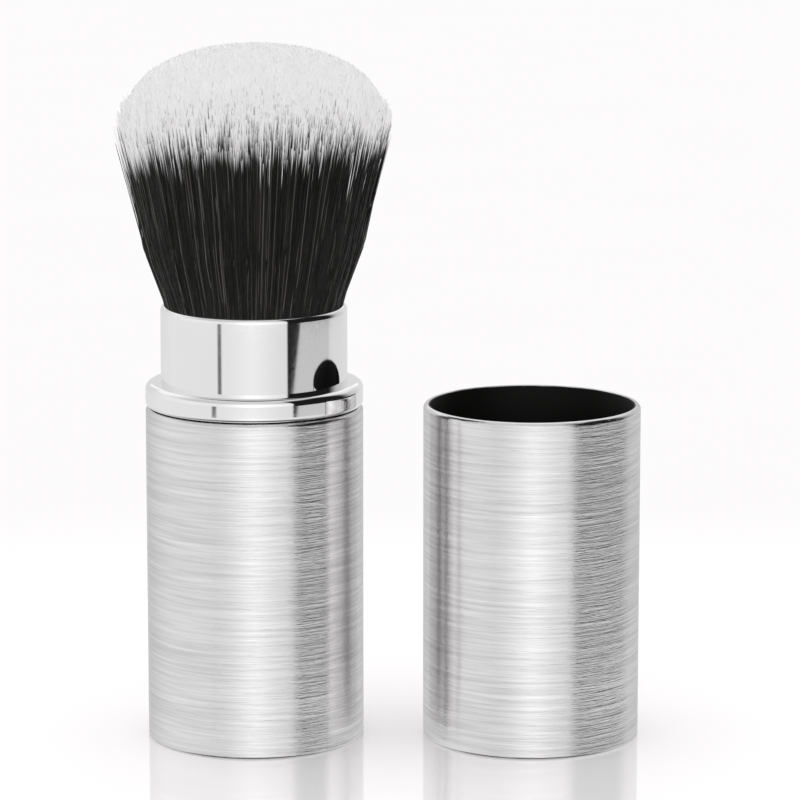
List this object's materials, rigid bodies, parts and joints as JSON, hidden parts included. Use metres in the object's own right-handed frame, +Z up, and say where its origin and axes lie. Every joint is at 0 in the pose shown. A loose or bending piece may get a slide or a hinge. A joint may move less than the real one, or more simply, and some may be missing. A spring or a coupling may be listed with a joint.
{
  "type": "kabuki makeup brush",
  "caption": "Travel kabuki makeup brush with a metal handle, a bright guard tube that slides up round the hair, and a loose metal cap.",
  "frame": {"origin": "middle of the handle's flat base, on the brush's axis", "axes": "+Z up along the brush's axis, +X from the handle towards the cap that stands beside it"},
  "size_m": [0.0766, 0.039, 0.102],
  "materials": {
    "brushed_shell": "brushed round the axis, satin",
    "bright_guard": "polished",
    "black_plastic": "moulded, matt black",
    "post_plastic": "moulded, dark grey",
    "bush_plastic": "natural white, slippery",
    "screw_steel": "zinc plated",
    "plain_aluminium": "plain",
    "root_glue": "clear amber resin",
    "hair": "fine straight fibres, black with white tips"
  },
  "bodies": {
    "handle": {"body_shell": "brushed_shell", "body_liner": "black_plastic", "guide_ring": "black_plastic", "centre_post": "post_plastic", "post_screw": "screw_steel", "hair_cup": "plain_aluminium", "root_glue": "root_glue", "bristles": "hair"},
    "guard": {"guard_tube": "bright_guard", "flange_ring": "bright_guard", "slide_bush": "bush_plastic"},
    "cap": {"cap_shell": "brushed_shell", "cap_liner": "black_plastic"}
  },
  "joints": [
    {"name": "guard_slide", "type": "slide", "parent": "handle", "child": "guard", "axis": [0, 0, 1], "range_m": [0, 0.025], "deforming": ["bristles"]},
    {"name": "cap_lift", "type": "slide", "parent": "handle", "child": "cap", "axis": [0, 0, 1], "range_m": [0, 0.12]}
  ]
}
